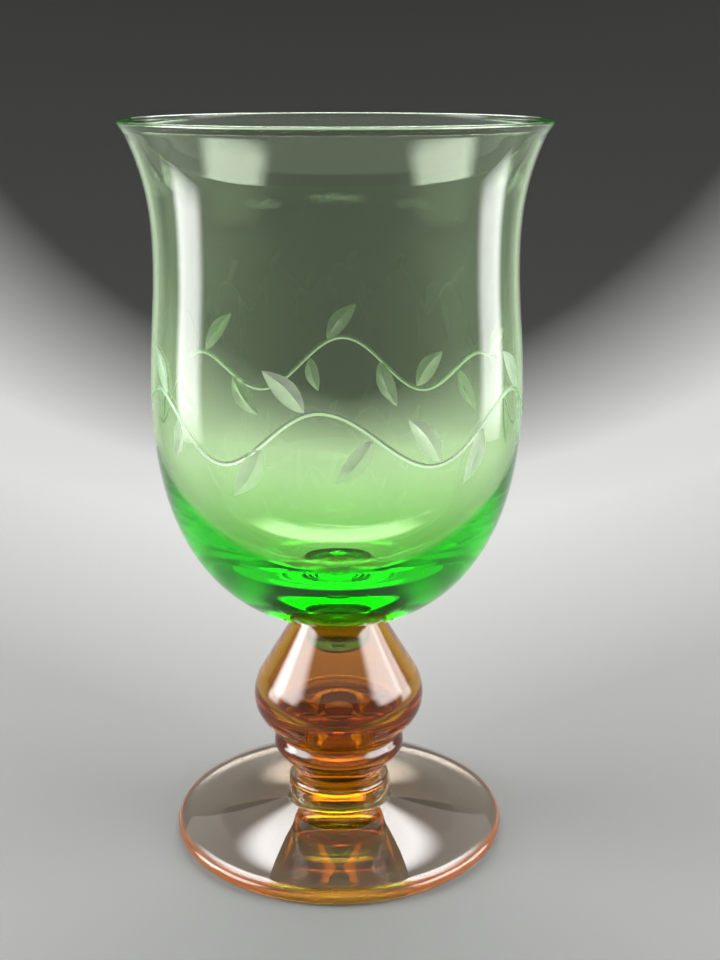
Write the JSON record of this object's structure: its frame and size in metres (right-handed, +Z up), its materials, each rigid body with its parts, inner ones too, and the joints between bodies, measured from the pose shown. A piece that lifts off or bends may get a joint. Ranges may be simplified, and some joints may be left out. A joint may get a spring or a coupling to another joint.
{
  "type": "goblet",
  "caption": "Stemmed goblet with a green tulip bowl and flared rim, an amber hollow knopped stem and a pale pink disc foot.",
  "frame": {"origin": "on the axis of the goblet, in the plane that the foot rests on", "axes": "+Z up along the axis of the goblet, from the foot to the rim; +X and +Y are any two level directions"},
  "size_m": [0.0952, 0.0952, 0.17],
  "materials": {
    "green_glass": "clear, polished, deep green where it is thick",
    "olive_glass": "clear, polished",
    "amber_glass": "clear, polished",
    "pink_glass": "clear, polished"
  },
  "bodies": {
    "root": {"bowl": "green_glass", "bowl_button": "olive_glass", "stem": "amber_glass", "foot_post": "olive_glass", "foot": "pink_glass"}
  },
  "joints": []
}
